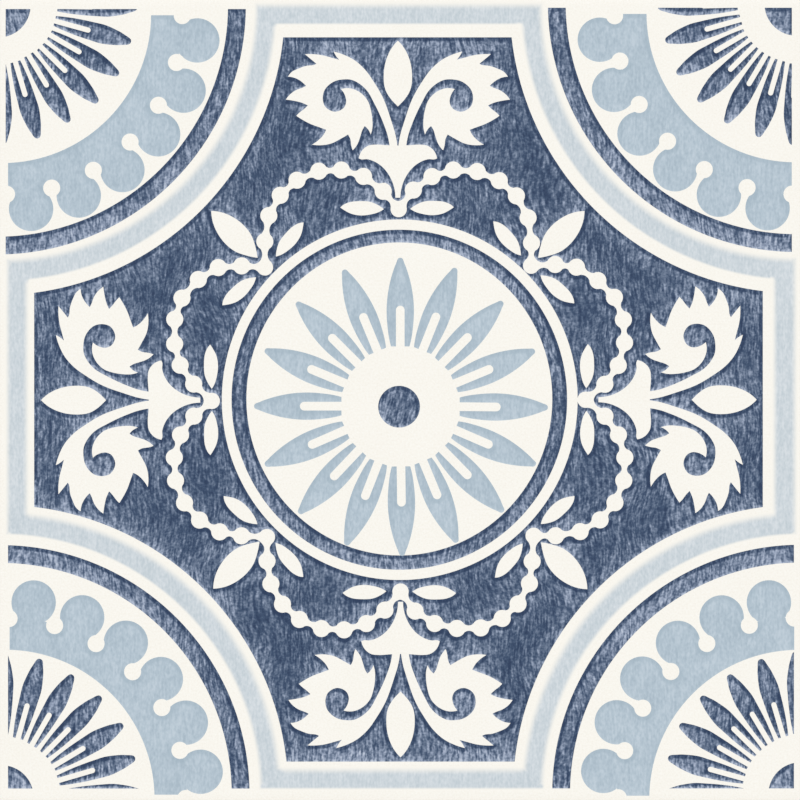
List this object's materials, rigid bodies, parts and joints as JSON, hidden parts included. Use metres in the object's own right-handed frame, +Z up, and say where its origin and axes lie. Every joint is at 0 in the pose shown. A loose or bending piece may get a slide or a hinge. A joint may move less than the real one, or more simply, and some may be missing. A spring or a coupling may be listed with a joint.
{
  "type": "self-adhesive floor tile",
  "caption": "Thin square vinyl floor tile with a printed ornamental face, an adhesive back and straight cut edges; it sticks to a flat floor and butts against its neighbours.",
  "frame": {"origin": "middle of the adhesive back, on the floor that the tile lies on", "axes": "+Z up out of the printed face, +X and +Y along the cut edges, with the picture's upward direction along +Y"},
  "size_m": [0.3048, 0.3048, 0.0015],
  "materials": {
    "printed_vinyl": "matt printed vinyl, cream ground with navy and pale blue ornament, lightly embossed"
  },
  "bodies": {
    "root": {"floor_tile": "printed_vinyl"}
  },
  "joints": []
}
